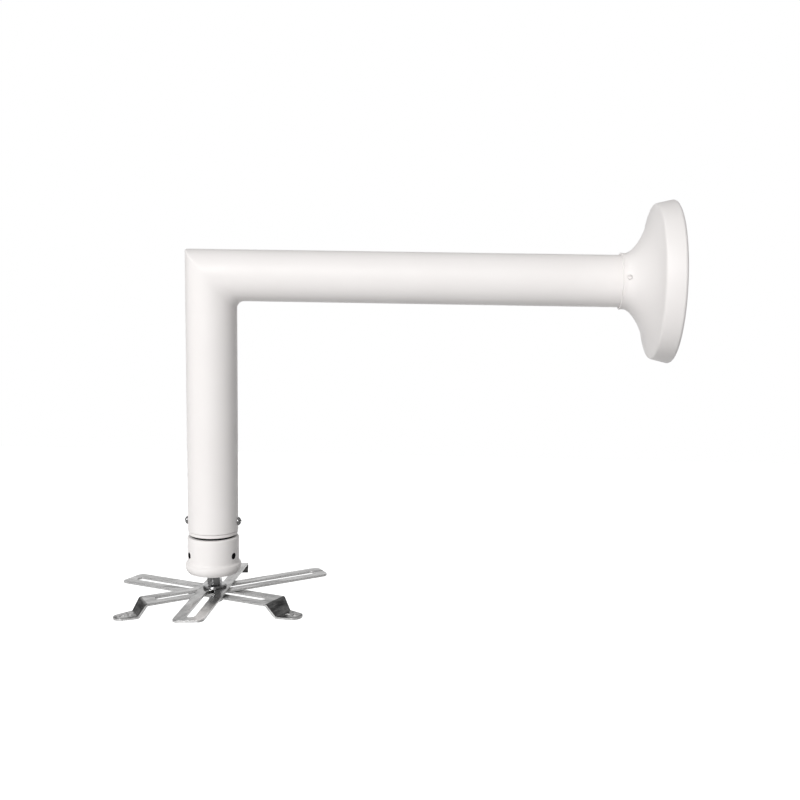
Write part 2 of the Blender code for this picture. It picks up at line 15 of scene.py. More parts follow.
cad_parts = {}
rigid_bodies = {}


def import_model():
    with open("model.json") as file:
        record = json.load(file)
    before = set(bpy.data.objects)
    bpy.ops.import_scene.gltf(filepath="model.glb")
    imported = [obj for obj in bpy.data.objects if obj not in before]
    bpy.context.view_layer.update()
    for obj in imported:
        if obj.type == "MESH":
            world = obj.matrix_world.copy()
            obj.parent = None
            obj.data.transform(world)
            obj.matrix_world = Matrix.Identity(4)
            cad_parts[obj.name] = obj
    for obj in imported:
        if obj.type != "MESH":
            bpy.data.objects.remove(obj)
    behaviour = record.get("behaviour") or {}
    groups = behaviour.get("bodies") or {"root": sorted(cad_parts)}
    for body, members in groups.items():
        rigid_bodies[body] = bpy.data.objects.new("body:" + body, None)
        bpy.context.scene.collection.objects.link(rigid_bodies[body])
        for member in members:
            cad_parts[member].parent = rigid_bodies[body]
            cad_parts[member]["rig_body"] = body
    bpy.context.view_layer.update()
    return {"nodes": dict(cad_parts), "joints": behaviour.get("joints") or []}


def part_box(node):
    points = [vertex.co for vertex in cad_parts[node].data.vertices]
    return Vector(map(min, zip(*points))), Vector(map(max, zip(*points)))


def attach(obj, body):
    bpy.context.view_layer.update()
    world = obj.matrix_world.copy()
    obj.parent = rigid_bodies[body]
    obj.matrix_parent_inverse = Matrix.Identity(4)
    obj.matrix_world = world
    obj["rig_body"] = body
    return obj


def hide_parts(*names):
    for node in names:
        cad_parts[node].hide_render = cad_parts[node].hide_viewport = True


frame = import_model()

MM = 0.001
CLEAR = 0.3 * MM
OVERCUT = 2.0 * MM

# Facets round a full turn
FINE = 160
MEDIUM = 96
SMALL = 48

# Camera, fitted to the photo's edges: a 50 mm lens a metre in front of the arm
CAMERA_EYE = (-212.2 * MM, -1071.5 * MM, 25.8 * MM)
CAMERA_AZIMUTH = radians(-2.479)
CAMERA_DOWN = radians(7.70)
CAMERA_ROLL = radians(0.83)
CAMERA_LENS = 49.63
CAMERA_SENSOR = 36
CAMERA_NEAR = 0.01

# Lamps: place, side of the square and watts; all point at the middle of the mount
LAMP_AIM = (-0.25, 0.0, -0.12)
LAMPS = {
    "key": ((-1.5, -3.5, 1.8), 2.0, 132),
    "fill": ((-2.8, -1.3, -0.3), 1.6, 5),
    "glint": ((-1.2, -2.1, -1.1), 0.5, 4),
}

# Floor: its own tone, and the glow that the camera sees on it by the distance from the head, lower
# near the head as painted shadow under the mount
FLOOR_Z = -1.3
FLOOR_HALF = 6.0
FLOOR_TONE = 0.6
FLOOR_GLOW_SHADED_NEAR = 0.5
FLOOR_GLOW_FAR = 1.0
FLOOR_GLOW_FROM = 0.7
FLOOR_GLOW_TO = 1.4

# World: diffuse light from the front and from behind, and the white backdrop and dim ceiling,
# by the height of the direction that sees them
AMBIENT = 0.25
AMBIENT_BEHIND = 0.74
BACKDROP_TOP = 0.215
CEILING_FROM = 0.38
CEILING_LEFT = 0.15
CEILING_RIGHT = 0.13

# The dim front of the room, by direction and by place on the floor, which only mirrors show
ROOM_TONE = 0.12
ROOM_SIDE = (0.7, 0.9)
ROOM_FLOOR = (0.3, 2.5)

# Sizes that the nodes' boxes don't give
TUBE_WALL = 1.5 * MM
TUBE_LIP = 0.35 * MM
ELBOW_INNER_R = 7.5 * MM
ELBOW_OUTER_R = 1.5 * MM

PLATE_EDGE_R = 1.0 * MM
WELD_LEG = 4.0 * MM
WELD_BEAD_IN = 0.2 * WELD_LEG
WELD_BEAD_R = 0.8 * WELD_LEG
WELD_BEAD_WRAP = 0.25
WELD_TOP = 0.9 * WELD_LEG
WELD_RIPPLE = 0.18 * MM
WELD_RIPPLES = 44
PLATE_HOLES = 4
PLATE_HOLE_R = 4.25 * MM
PLATE_HOLE_SINK = 1.0 * MM
PLATE_HOLE_CIRCLE_R = 50.0 * MM

COVER_RIM_R = 3.0 * MM
COVER_RIDGE_R = 74.0 * MM
COVER_BAND = 18.6 * MM
COVER_RIDGE_ROUND = 2.4 * MM
COVER_WALL = 1.5 * MM
COVER_CLEARANCE = 0.35 * MM
COVER_NECK = 4.0 * MM
COVER_LIP = 0.4 * MM
COVER_BEAD_R = 1.8 * COVER_LIP
FLARE_TOP_IN = 2.5 * MM
FLARE_TOP_RISE = 1.0 * MM
FLARE_RIM_HANDLE = (22.8 * MM, 4.2 * MM)
FLARE_NECK_HANDLE = 8.8 * MM
COVER_SCREW_R = 2.0 * MM
COVER_SCREW_FROM_LIP = 6.0 * MM
COVER_SCREW_RISE = radians(9.5)
COVER_SCREW_SOCKET = 2.0 * MM

INSERT_WALL = 4.2 * MM
INSERT_EDGE = 0.5 * MM
INSERT_RING = 3.7 * MM
INSERT_FLANGE_R = 24.5 * MM
INSERT_FLANGE_GAP = 0.45 * MM
INSERT_FLANGE_ROUND = 1.0 * MM
INSERT_SEAT_R = 9.0 * MM
INSERT_SEAT_LAND = 15.0 * MM
INSERT_SEAT_CONE = 5.0 * MM
VEE_DEPTH = 3.0 * MM
RELIEF_DEPTH = 3.6 * MM
RELIEF_WIDTH = 3.0 * MM

SIDE_SCREW_R = 2.5 * MM
SIDE_SCREW_HEAD_R = 4.2 * MM
SIDE_SCREW_RIM = 0.8 * MM
SIDE_SCREW_DOME = 2.5 * MM
SIDE_SCREW_CROSS = (4.2 * MM, 1.1 * MM)
SIDE_SCREW_CROSS_DEPTH = 1.5 * MM
SIDE_SCREW_PITCH = 0.8 * MM

CUP_R = 25.6 * MM
CUP_WALL = 4.0 * MM
CUP_LIP_ROUND = 1.8 * MM
CUP_FLARE_HEIGHT = 12.4 * MM
CUP_CREASE_HEIGHT = 9.4 * MM
CUP_FLARE_HANDLE = 1.5 * MM
CUP_CREASE_OUT = 1.7 * MM
CUP_CREASE_HANDLE = (1.0 * MM, 0.6 * MM)
CUP_BEAD_OUT = 2.6 * MM
CUP_BEAD_HEIGHTS = (7.5 * MM, 3.8 * MM)
CUP_FOOT_IN = 0.3 * MM
CUP_FOOT_EDGE = 0.7 * MM
CUP_MOUTH_R = 13.0 * MM
CUP_SEAT_R = 11.0 * MM
CUP_FLOOR_BELOW_BALL = 1.0 * MM
CUP_SCREWS = 3
CUP_SCREW_R = 3.0 * MM
CUP_SCREW_CONE = 2.1 * MM
CUP_SCREW_SOCKET = 3.0 * MM
CUP_SCREW_RECESS = 2.0 * MM
CUP_SHARP = radians(40)
FIRST_CUP_SCREW = radians(93.5)

# Sockets of the set screws, as shares of the hexagon's corner radius, and the holes' lining
SINK_DEPTH = 0.4
SINK_FLOOR_R = 0.7
SINK_TOP_R = 1.12
LINING_INNER = 0.4 * CLEAR
LINING_OUTER = 0.9 * CLEAR

# Threads: depth as a share of the pitch, rows of facets a pitch, and the ridge's slope and root
THREAD_DEPTH = 0.54
THREAD_ROWS = 8
THREAD_SLOPE = 1.25
THREAD_ROOT = 0.1

BALL_R = 14.0 * MM
STUD_R = 4.0 * MM
STUD_NECK_R = 0.84 * STUD_R
STUD_PITCH = 1.25 * MM
STUD_TIP = 0.8 * MM

HEX_FLATS = 13.0 * MM
UPPER_NUT_TURN = radians(27)
UPPER_NUT_RISE = 0.9 * MM
NUT_CORNER_R = 0.45 * MM
NUT_FACE_IN = 0.2 * MM
NUT_CHAMFER = radians(30)
NUT_SHARP = radians(25)
WASHER_EDGE = 0.3 * MM
WASHER_ROLL = 1.6 * WASHER_EDGE
LOCK_WASHER_SPLIT = 1.2 * MM
LOCK_WASHER_SLANT = radians(35)

STRAP_THICK = 2.0 * MM
STRAP_WIDTH = 30.0 * MM
STRAP_FLAT = 191.0 * MM
STRAP_CORNER_R = 6.0 * MM
STRAP_EDGE = 0.22 * MM
STRAP_SHARP = radians(50)
CUT_EDGE_SLOPE = 0.25
SLOT_WIDTH = 8.6 * MM
SLOT_FROM_END = 10.0 * MM
SLOT_FROM_BEND = 12.0 * MM
WEB_RUN = 8.5 * MM
WEB_FOOT_WIDTH = 24.0 * MM
WEB_DROP = 12.1 * MM
BEND_R = 1.5 * MM
TONGUE_LENGTH = 21.29 * MM
TONGUE_END_R = 9.2 * MM
TONGUE_HOLES = 2
TONGUE_HOLE_R = 2.4 * MM
TONGUE_HOLE_FROM_TIP = 8.3 * MM
TONGUE_HOLE_PITCH = 7.5 * MM

# Places read from the frame
JOINTS = {joint["name"]: joint for joint in frame["joints"]}
TUBE_LOW, TUBE_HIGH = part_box("arm_tube")
TUBE_R = TUBE_HIGH.z
ARM_REACH = -TUBE_LOW.x - TUBE_R
TUBE_END_Z = TUBE_LOW.z
CUP_BASE_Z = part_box("cup")[0].z
CUP_TOP_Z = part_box("cup")[1].z
COVER_DEPTH = -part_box("wall_cover")[0].x
COVER_BACK_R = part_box("wall_cover")[1].z
PLATE_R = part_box("wall_plate")[1].z
BALL_CENTRE = Vector(JOINTS["ball_tilt"]["pos_m"])
STUD_AXIS = Vector(JOINTS["upper_swivel"]["axis"]).normalized()
DROP_AXIS = Matrix.Translation((-ARM_REACH, 0, 0))
COVER_NECK_R = TUBE_R + COVER_CLEARANCE + COVER_WALL
INSERT_R = TUBE_R - TUBE_WALL - CLEAR
CUP_BORE_R = CUP_R - CUP_WALL
SPIGOT_R = CUP_BORE_R - CLEAR
SOCKET_R = BALL_R + CLEAR
STUD_HOLE_R = STUD_R + CLEAR
CUP_SCREW_Z = (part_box("cup_screw_1")[0].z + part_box("cup_screw_1")[1].z) / 2
SIDE_SCREW_Z = (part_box("side_screw_left")[0].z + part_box("side_screw_left")[1].z) / 2


# Curves and outlines

def arc(centre, radius, start, end, steps):
    """Points on an arc, both ends included, with angles in radians from the first axis."""
    turns = [start + (end - start) * i / steps for i in range(steps + 1)]
    return [(centre[0] + radius * cos(a), centre[1] + radius * sin(a)) for a in turns]


def circle(radius, segments):
    """Points round a circle, from the first axis on."""
    return arc((0, 0), radius, 0, 2 * pi, segments)[:-1]


def bezier(p0, p1, p2, p3, steps):
    """Points on a cubic curve, both ends included."""
    points = []
    for i in range(steps + 1):
        t = i / steps
        weights = ((1 - t) ** 3, 3 * t * (1 - t) ** 2, 3 * t * t * (1 - t), t ** 3)
        points.append(tuple(sum(w * p[k] for w, p in zip(weights, (p0, p1, p2, p3)))
                            for k in (0, 1)))
    return points


def rounded(corners, radii, steps):
    """An open path through the corners, with an arc at each inner one."""
    path = [corners[0]]
    for before, corner, after, radius in zip(corners, corners[1:], corners[2:], radii):
        here = Vector(corner)
        back = (Vector(before) - here).normalized()
        ahead = (Vector(after) - here).normalized()
        half = back.angle(ahead) / 2
        centre = here + (back + ahead).normalized() * radius / sin(half)
        first = here + back * radius / tan(half) - centre
        start = atan2(first.y, first.x)
        sweep = copysign(pi - 2 * half, ahead.cross(back))
        path += arc(centre, radius, start, start + sweep, steps)
    path.append(corners[-1])
    return path


def offset(path, distance):
    """The path moved evenly to the right of its own direction."""
    moved = []
    for i, point in enumerate(path):
        sides = []
        for a, b in zip(path[max(i - 1, 0):i + 1], path[max(i - 1, 0) + 1:i + 2]):
            along = (Vector(b) - Vector(a)).normalized()
            sides.append(Vector((along.y, -along.x)))
        mean = sum(sides, Vector((0.0, 0.0))).normalized()
        moved.append(tuple(Vector(point) + mean * distance / mean.dot(sides[0])))
    return moved


def sphere_arc(low, high, steps):
    """Points (radius, height) up the ball's socket, between two heights from its centre."""
    return arc((0, BALL_CENTRE.z), SOCKET_R, asin(low / SOCKET_R), asin(high / SOCKET_R), steps)


# Meshes

def finish(name, bm, material=None):
    """Turns a bmesh into an object, smooth but for its sharp edges."""
    bmesh.ops.remove_doubles(bm, verts=bm.verts, dist=1e-7)
    bmesh.ops.recalc_face_normals(bm, faces=bm.faces)
    mesh = bpy.data.meshes.new(name)
    bm.to_mesh(mesh)
    bm.free()
    made = bpy.data.objects.new(name, mesh)
    bpy.context.scene.collection.objects.link(made)
    if material:
        mesh.materials.append(material)
    return made


def turned(name, profile, segments, material=None):
    """A closed profile of (radius, height) points spun about Z."""
    bm = bmesh.new()
    corners = [bm.verts.new((r, 0, z)) for r, z in profile]
    edges = []
    for a, b in zip(corners, corners[1:] + corners[:1]):
        if max(a.co.x, b.co.x) > OVERCUT * 1e-3:
            edges.append(bm.edges.new((a, b)))
    bmesh.ops.spin(bm, geom=corners + edges, cent=(0, 0, 0), axis=(0, 0, 1), angle=2 * pi,
                   steps=segments, use_merge=True)
    return finish(name, bm, material)


def prism(name, outline, low, high, material=None):
    """A flat outline of (x, y) points, extruded from one height to another."""
    bm = bmesh.new()
    face = bm.faces.new([bm.verts.new((x, y, low)) for x, y in outline])
    grown = bmesh.ops.extrude_face_region(bm, geom=[face])
    lifted = [item for item in grown["geom"] if isinstance(item, bmesh.types.BMVert)]
    bmesh.ops.translate(bm, verts=lifted, vec=(0, 0, high - low))
    return finish(name, bm, material)


def rod(radius, low, high, segments=SMALL):
    return prism("cutter", circle(radius, segments), low, high)


def hexagon(flats):
    return circle(flats / sqrt(3), 6)


def apply_modifiers(item):
    bpy.context.view_layer.update()
    graph = bpy.context.evaluated_depsgraph_get()
    result = bpy.data.meshes.new_from_object(item.evaluated_get(graph))
    item.modifiers.clear()
    item.data = result
    result.name = item.name


def shape(target, tool, operation="DIFFERENCE"):
    """Cuts the target with the tool, or keeps only what is inside it, and drops the tool."""
    cut = target.modifiers.new("cut", "BOOLEAN")
    cut.operation = operation
    cut.solver = "EXACT"
    cut.object = tool
    apply_modifiers(target)
    bpy.data.objects.remove(tool)


def soften(item, width, angle=radians(35), segments=2):
    """Rounds every sharp edge a little and keeps the flats flat under smooth shading."""
    bevel = item.modifiers.new("edges", "BEVEL")
    bevel.width = width
    bevel.segments = segments
    bevel.limit_method = "ANGLE"
    bevel.angle_limit = angle
    bevel.use_clamp_overlap = True
    item.data.shade_smooth()
    weigh = item.modifiers.new("normals", "WEIGHTED_NORMAL")
    weigh.mode = "FACE_AREA"
    weigh.keep_sharp = True
    apply_modifiers(item)


def smooth(item, angle=radians(32)):
    item.data.shade_smooth()
    item.data.set_sharp_from_angle(angle=angle)


def facing(direction):
    """A rotation that takes the local +Z axis to the given direction."""
    return Vector((0, 0, 1)).rotation_difference(Vector(direction)).to_matrix().to_4x4()


def place(item, matrix):
    item.matrix_world = matrix
    return item


def stand_for(item, node, matrix=Matrix.Identity(4)):
    """Sets a piece in place, gives it its node's body, and hides the node.

    Its own coordinates from before stay in an attribute, which the materials read.
    """
    mesh = item.data
    own = mesh.attributes.new("own_place", "FLOAT_VECTOR", "POINT")
    own.data.foreach_set("vector", [value for vertex in mesh.vertices for value in vertex.co])
    mesh.transform(matrix @ item.matrix_world)
    item.matrix_world = Matrix.Identity(4)
    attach(item, frame["nodes"][node]["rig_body"])
    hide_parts(node)
    return item


def extent(node, origin, axis):
    """Lowest and highest place of a node along an axis, and its greatest distance from it."""
    spots = [vertex.co - origin for vertex in frame["nodes"][node].data.vertices]
    heights = [spot.dot(axis) for spot in spots]
    radius = max((spot - axis * height).length for spot, height in zip(spots, heights))
    return min(heights), max(heights), radius


# Materials

def new_material(name, colour, roughness, metallic):
    made = bpy.data.materials.new(name)
    made.use_nodes = True
    shader = made.node_tree.nodes["Principled BSDF"]
    shader.inputs["Base Color"].default_value = (*colour, 1.0)
    shader.inputs["Roughness"].default_value = roughness
    shader.inputs["Metallic"].default_value = metallic
    made.diffuse_color = (*colour, 1.0)
    return made, shader


def remap(tree, value, start, end, low, high, smooth_ends=False):
    """Maps a value from one range to another, and holds it beyond both ends."""
    node = tree.nodes.new("ShaderNodeMapRange")
    node.interpolation_type = "SMOOTHSTEP" if smooth_ends else "LINEAR"
    for name, number in (("From Min", start), ("From Max", end)):
        node.inputs[name].default_value = number
    for name, source in (("To Min", low), ("To Max", high), ("Value", value)):
        if isinstance(source, float):
            node.inputs[name].default_value = source
        else:
            tree.links.new(source, node.inputs[name])
    return node.outputs["Result"]


def combine(tree, operation, first, second):
    """Adds, multiplies or compares two values."""
    node = tree.nodes.new("ShaderNodeMath")
    node.operation = operation
    tree.links.new(first, node.inputs[0])
    tree.links.new(second, node.inputs[1])
    return node.outputs["Value"]


def own_place(tree):
    """The piece's own coordinates, as stand_for keeps them."""
    coords = tree.nodes.new("ShaderNodeAttribute")
    coords.attribute_name = "own_place"
    return coords.outputs["Vector"]


def noise(tree, scale, detail, stretch=(1, 1, 1), rough=0.5):
    """A noise texture in the piece's own coordinates, drawn out along its axes."""
    mapping = tree.nodes.new("ShaderNodeMapping")
    mapping.inputs["Scale"].default_value = stretch
    texture = tree.nodes.new("ShaderNodeTexNoise")
    texture.inputs["Scale"].default_value = scale
    texture.inputs["Detail"].default_value = detail
    texture.inputs["Roughness"].default_value = rough
    tree.links.new(own_place(tree), mapping.inputs["Vector"])
    tree.links.new(mapping.outputs["Vector"], texture.inputs["Vector"])
    return texture.outputs["Fac"]


def spread(tree, value, low, high, start=0.3, end=0.7):
    """Maps a noise value to a range."""
    return remap(tree, value, start, end, float(low), float(high))


def tint(tree, value, dark, light):
    """A colour between two, each a fixed one or a node's, by a value from 0 to 1."""
    node = tree.nodes.new("ShaderNodeMix")
    node.data_type = "RGBA"
    for name, colour in (("A", dark), ("B", light)):
        if isinstance(colour, tuple):
            node.inputs[name].default_value = (*colour, 1.0)
        else:
            tree.links.new(colour, node.inputs[name])
    tree.links.new(value, node.inputs["Factor"])
    return node.outputs["Result"]


def bump(tree, shader, value, distance, strength=1.0, under=None):
    node = tree.nodes.new("ShaderNodeBump")
    node.inputs["Distance"].default_value = distance
    node.inputs["Strength"].default_value = strength
    tree.links.new(value, node.inputs["Height"])
    if under:
        tree.links.new(under, node.inputs["Normal"])
    tree.links.new(node.outputs["Normal"], shader.inputs["Normal"])
    return node.outputs["Normal"]


def powder_coat():
    """Semi-gloss white powder coat: fine orange peel, and a faint unevenness in tone."""
    made, shader = new_material("white_powder_coat", (0.87, 0.85, 0.845), 0.42, 0.0)
    tree = made.node_tree
    shader.inputs["Specular IOR Level"].default_value = 0.22
    cloud = spread(tree, noise(tree, 14, 3), 0, 1)
    colour = tint(tree, cloud, (0.868, 0.838, 0.824), (0.892, 0.864, 0.85))
    tree.links.new(colour, shader.inputs["Base Color"])
    tree.links.new(spread(tree, noise(tree, 60, 4), 0.37, 0.48), shader.inputs["Roughness"])
    waves = bump(tree, shader, noise(tree, 420, 2), 0.00006, 0.5)
    bump(tree, shader, noise(tree, 1500, 2), 0.00001, 0.4, waves)
    return made


def painted_bend_shade(tree, start, end):
    """Painted shade: 1 up to a strip's bend, and beyond it mottled down to dark over the web and
    tongue.
    """
    axes = tree.nodes.new("ShaderNodeSeparateXYZ")
    tree.links.new(own_place(tree), axes.inputs["Vector"])
    # How dark the painted shade gets past the bend, mottled by noise
    shade_mottle = spread(tree, noise(tree, 210, 3, (1.0, 0.3, 1.0), 0.6), 0.3, 1.0, 0.4, 0.6)
    return remap(tree, axes.outputs["X"], start, end, 1.0, shade_mottle)


def plated(name, base, low, high, grain, waves=0.0, bend=None):
    """Bright plated steel: rolling grain drawn out along local X, dull smudges and fine pits.

    A sheet also waves a little, which mottles what it mirrors, and past its bend its colour is
    darkened by painted shade.
    """
    made, shader = new_material(name, base, low, 1.0)
    tree = made.node_tree
    streaks = noise(tree, 90, 5, grain, 0.6)
    smudges = noise(tree, 35, 4)
    dull = combine(tree, "ADD", spread(tree, streaks, low, (low + high) / 2),
                   spread(tree, smudges, 0, (high - low) / 2))
    tree.links.new(dull, shader.inputs["Roughness"])
    dark = tuple(channel * 0.72 for channel in base)
    light = tuple(channel * 1.06 for channel in base)
    grime = remap(tree, streaks, 0.25, 0.75, spread(tree, smudges, 0, 0.5),
                  spread(tree, smudges, 0.5, 1))
    colour = tint(tree, grime, dark, light)
    # Painted shade: past the bend the colour is mixed towards black
    if bend:
        colour = tint(tree, painted_bend_shade(tree, *bend), (0.0, 0.0, 0.0), colour)
    tree.links.new(colour, shader.inputs["Base Color"])
    under = bump(tree, shader, streaks, 0.00004, 0.6)
    if waves:
        under = bump(tree, shader, noise(tree, 55, 3, (0.45, 1.0, 1.0), 0.5), waves, 1.0, under)
    bump(tree, shader, noise(tree, 900, 3), 0.00001, 0.5, under)
    return made


def cut_edge():
    """Sheared strip edges: dull steel with fine upright score marks."""
    made, shader = new_material("cut_edge", (0.66, 0.655, 0.65), 0.42, 0.5)
    tree = made.node_tree
    scores = noise(tree, 700, 4, (1.0, 1.0, 0.15), 0.6)
    colour = tint(tree, spread(tree, scores, 0, 1), (0.56, 0.555, 0.55), (0.76, 0.755, 0.75))
    tree.links.new(colour, shader.inputs["Base Color"])
    tree.links.new(spread(tree, scores, 0.34, 0.5), shader.inputs["Roughness"])
    bump(tree, shader, scores, 0.00005, 0.6)
    return made


def turned_steel():
    """Steel with fine rings round local Z, as a lathe leaves them."""
    made, shader = new_material("turned_steel", (0.6, 0.6, 0.61), 0.24, 1.0)
    tree = made.node_tree
    rings = noise(tree, 220, 3, (0.2, 0.2, 8))
    tree.links.new(spread(tree, rings, 0.18, 0.34), shader.inputs["Roughness"])
    bump(tree, shader, rings, 0.00002, 0.5)
    return made


def black_oxide():
    """Blackened screw steel with worn, slightly brighter spots."""
    made, shader = new_material("black_oxide", (0.03, 0.03, 0.033), 0.45, 0.6)
    tree = made.node_tree
    rub = spread(tree, noise(tree, 700, 4), 0, 1, 0.45, 0.75)
    colour = tint(tree, rub, (0.022, 0.022, 0.025), (0.07, 0.07, 0.075))
    tree.links.new(colour, shader.inputs["Base Color"])
    tree.links.new(spread(tree, noise(tree, 1200, 3), 0.38, 0.55), shader.inputs["Roughness"])
    bump(tree, shader, noise(tree, 2500, 2), 0.00001, 0.5)
    return made


WHITE = powder_coat()
STRAP_METAL = plated("bright_strap", (0.7, 0.695, 0.69), 0.12, 0.26, grain=(0.12, 3.0, 3.0),
                     waves=0.0006, bend=(STRAP_FLAT - 2 * MM, STRAP_FLAT + MM))
CUT_EDGE = cut_edge()
HARDWARE = plated("bright_hardware", (0.66, 0.66, 0.665), 0.1, 0.22, grain=(1.0, 1.0, 1.0))
STEEL = turned_steel()
BLACK = black_oxide()


# Arm

def arm_tube():
    """Each line along the tube is a straight run, a corner arc and a straight drop.

    Both of its ends are eased over by a short step, so a line has 6 points besides its arc.
    """
    steps = 14
    bm = bmesh.new()
    walls = []
    start = TUBE_HIGH.x
    for radius, ease in ((TUBE_R, TUBE_LIP), (TUBE_R - TUBE_WALL, -TUBE_LIP)):
        rings = [[] for _ in range(6 + steps + 1)]
        for i in range(FINE):
            turn = 2 * pi * i / FINE
            inward = (1 - cos(turn)) / 2
            bend = ELBOW_OUTER_R + (ELBOW_INNER_R - ELBOW_OUTER_R) * inward ** 2
            z = radius * cos(turn)
            end = (radius - ease) * cos(turn)
            path = [(start, end), (start - TUBE_LIP, z), (start - 4 * TUBE_LIP, z)]
            path += arc((-ARM_REACH - z + bend, z - bend), bend, pi / 2, pi, steps)
            path += [(-ARM_REACH - z, TUBE_END_Z + 4 * TUBE_LIP),
                     (-ARM_REACH - z, TUBE_END_Z + TUBE_LIP), (-ARM_REACH - end, TUBE_END_Z)]
            tips = (0, len(path) - 1)
            for k, (ring, (px, pz)) in enumerate(zip(rings, path)):
                reach = radius - ease if k in tips else radius
                ring.append(bm.verts.new((px, reach * sin(turn), pz)))
        walls.append(rings)
    loop = walls[0] + walls[1][::-1]
    for a, b in zip(loop, loop[1:] + loop[:1]):
        for i in range(FINE):
            j = (i + 1) % FINE
            bm.faces.new((a[i], a[j], b[j], b[i]))
    tube = finish("arm_tube_coated", bm, WHITE)
    for side in (1, -1):
        hole = rod(SIDE_SCREW_R + CLEAR, TUBE_R - TUBE_WALL - OVERCUT, TUBE_R + OVERCUT)
        shape(tube, place(hole, side_screw_place(side)))
    smooth(tube)
    stand_for(tube, "arm_tube")


def side_screw_place(side):
    """Local +Z points out of the drop tube, to +X or -X."""
    return Matrix.Translation((-ARM_REACH, 0, SIDE_SCREW_Z)) @ facing((side, 0, 0))


def wall_plate():
    """A disc with a rounded rim, countersunk holes and a rippled weld round the tube."""
    thick = -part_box("wall_plate")[0].x - WELD_LEG
    bore = TUBE_R + CLEAR
    rim = arc((PLATE_R - PLATE_EDGE_R, thick - PLATE_EDGE_R), PLATE_EDGE_R, 0, pi / 2, 8)
    profile = [(0, 0), (PLATE_R - PLATE_EDGE_R / 2, 0), (PLATE_R, PLATE_EDGE_R / 2)] + rim
    bead = arc((bore + WELD_BEAD_IN, thick + WELD_BEAD_IN), WELD_BEAD_R,
               -WELD_BEAD_WRAP, pi / 2 + WELD_BEAD_WRAP, 10)
    weld = [(bore + WELD_LEG, thick)] + bead + [(bore, thick + WELD_TOP), (bore, thick)]
    plate = turned("wall_plate_coated", profile + weld + [(0, thick)], FINE, WHITE)
    top = thick + OVERCUT / 10
    for vertex in plate.data.vertices:
        radius = sqrt(vertex.co.x ** 2 + vertex.co.y ** 2)
        if vertex.co.z > top and radius > bore + CLEAR / 3:
            turn = atan2(vertex.co.y, vertex.co.x)
            swell = 1 - WELD_RIPPLE / radius * (1 + cos(WELD_RIPPLES * turn))
            vertex.co.x *= swell
            vertex.co.y *= swell
    above = thick + OVERCUT
    countersunk = [(0, above), (PLATE_HOLE_R + PLATE_HOLE_SINK + OVERCUT, above),
                   (PLATE_HOLE_R, thick - PLATE_HOLE_SINK), (PLATE_HOLE_R, -OVERCUT), (0, -OVERCUT)]
    for i in range(PLATE_HOLES):
        turn = 2 * pi * (i + 0.5) / PLATE_HOLES
        hole = turned("cutter", countersunk, SMALL)
        hole.location = (PLATE_HOLE_CIRCLE_R * cos(turn), PLATE_HOLE_CIRCLE_R * sin(turn), 0)
        shape(plate, hole)
    smooth(plate)
    stand_for(plate, "wall_plate", facing((-1, 0, 0)))


def cover_screw_place():
    """Local +Z is the screw's axis, in the cover's frame, whose Z is the depth from the wall."""
    direction = (sin(COVER_SCREW_RISE), -cos(COVER_SCREW_RISE), 0)
    return Matrix.Translation((0, 0, COVER_DEPTH - COVER_SCREW_FROM_LIP)) @ facing(direction)


def wall_cover():
    """A spun bell: a rolled rim, a tapered band, a rounded ridge and a flare to the neck."""
    rim = arc((COVER_BACK_R - COVER_RIM_R, COVER_RIM_R), COVER_RIM_R, -pi / 2, 0, 10)
    flare_top = (COVER_RIDGE_R - FLARE_TOP_IN, COVER_BAND + FLARE_TOP_RISE)
    band = rounded([rim[-1], (COVER_RIDGE_R, COVER_BAND), flare_top], [COVER_RIDGE_ROUND], 10)
    neck = (COVER_NECK_R, COVER_DEPTH - COVER_NECK)
    rim_handle = (flare_top[0] - FLARE_RIM_HANDLE[0], flare_top[1] + FLARE_RIM_HANDLE[1])
    neck_handle = (neck[0], neck[1] - FLARE_NECK_HANDLE)
    flare = bezier(flare_top, rim_handle, neck_handle, neck, 40)
    outer = rim[:-1] + band[:-1] + flare + [(COVER_NECK_R, COVER_DEPTH)]
    inner = offset(outer, -COVER_WALL)
    middle = COVER_DEPTH - COVER_BEAD_R
    bead = arc((COVER_NECK_R - COVER_LIP, middle), COVER_BEAD_R, -pi / 3, pi / 2, 8)
    cover = turned("wall_cover_coated", outer[:-1] + bead + inner[::-1], FINE, WHITE)
    hole = rod(COVER_SCREW_R + CLEAR, TUBE_R - OVERCUT, COVER_NECK_R + 3 * OVERCUT)
    shape(cover, place(hole, cover_screw_place()))
    smooth(cover)
    stand_for(cover, "wall_cover", facing((-1, 0, 0)))


def set_screw(name, radius, inner, outer, socket, cone, material, lining_end=0):
    """A headless screw along local +Z: a cone or flat inner end and a hex socket outside.

    Where its hole is bare, a thin lining of the hole goes with it, as far out as lining_end.
    """
    edge = radius / 8
    rim = [(0, inner - cone), (radius, inner), (radius, outer - edge), (radius - edge, outer),
           (0, outer)]
    screw = turned(name, rim, SMALL, material)
    mouth = socket / sqrt(3)
    hollow = prism("cutter", hexagon(socket), (inner + outer) / 2, outer + OVERCUT)
    shape(screw, hollow)
    floor_z = outer - mouth * SINK_DEPTH
    sink = [(0, floor_z), (mouth * SINK_FLOOR_R, floor_z), (mouth * SINK_TOP_R, outer + edge),
            (0, outer + edge)]
    shape(screw, turned("cutter", sink, SMALL))
    if lining_end:
        near, far = radius + LINING_INNER, radius + LINING_OUTER
        lining = [(radius, inner), (far, inner), (far, lining_end), (near, lining_end),
                  (near, outer), (radius, outer)]
        join(screw, turned("cutter", lining, SMALL))
    smooth(screw)
    return screw


def cover_screw():
    """Painted with the cover, so it hardly shows."""
    screw = set_screw("cover_screw_coated", COVER_SCREW_R, TUBE_R + CLEAR, COVER_NECK_R,
                      COVER_SCREW_SOCKET, 0, WHITE)
    spot = facing((-1, 0, 0)) @ cover_screw_place()
    stand_for(screw, "cover_screw", spot)


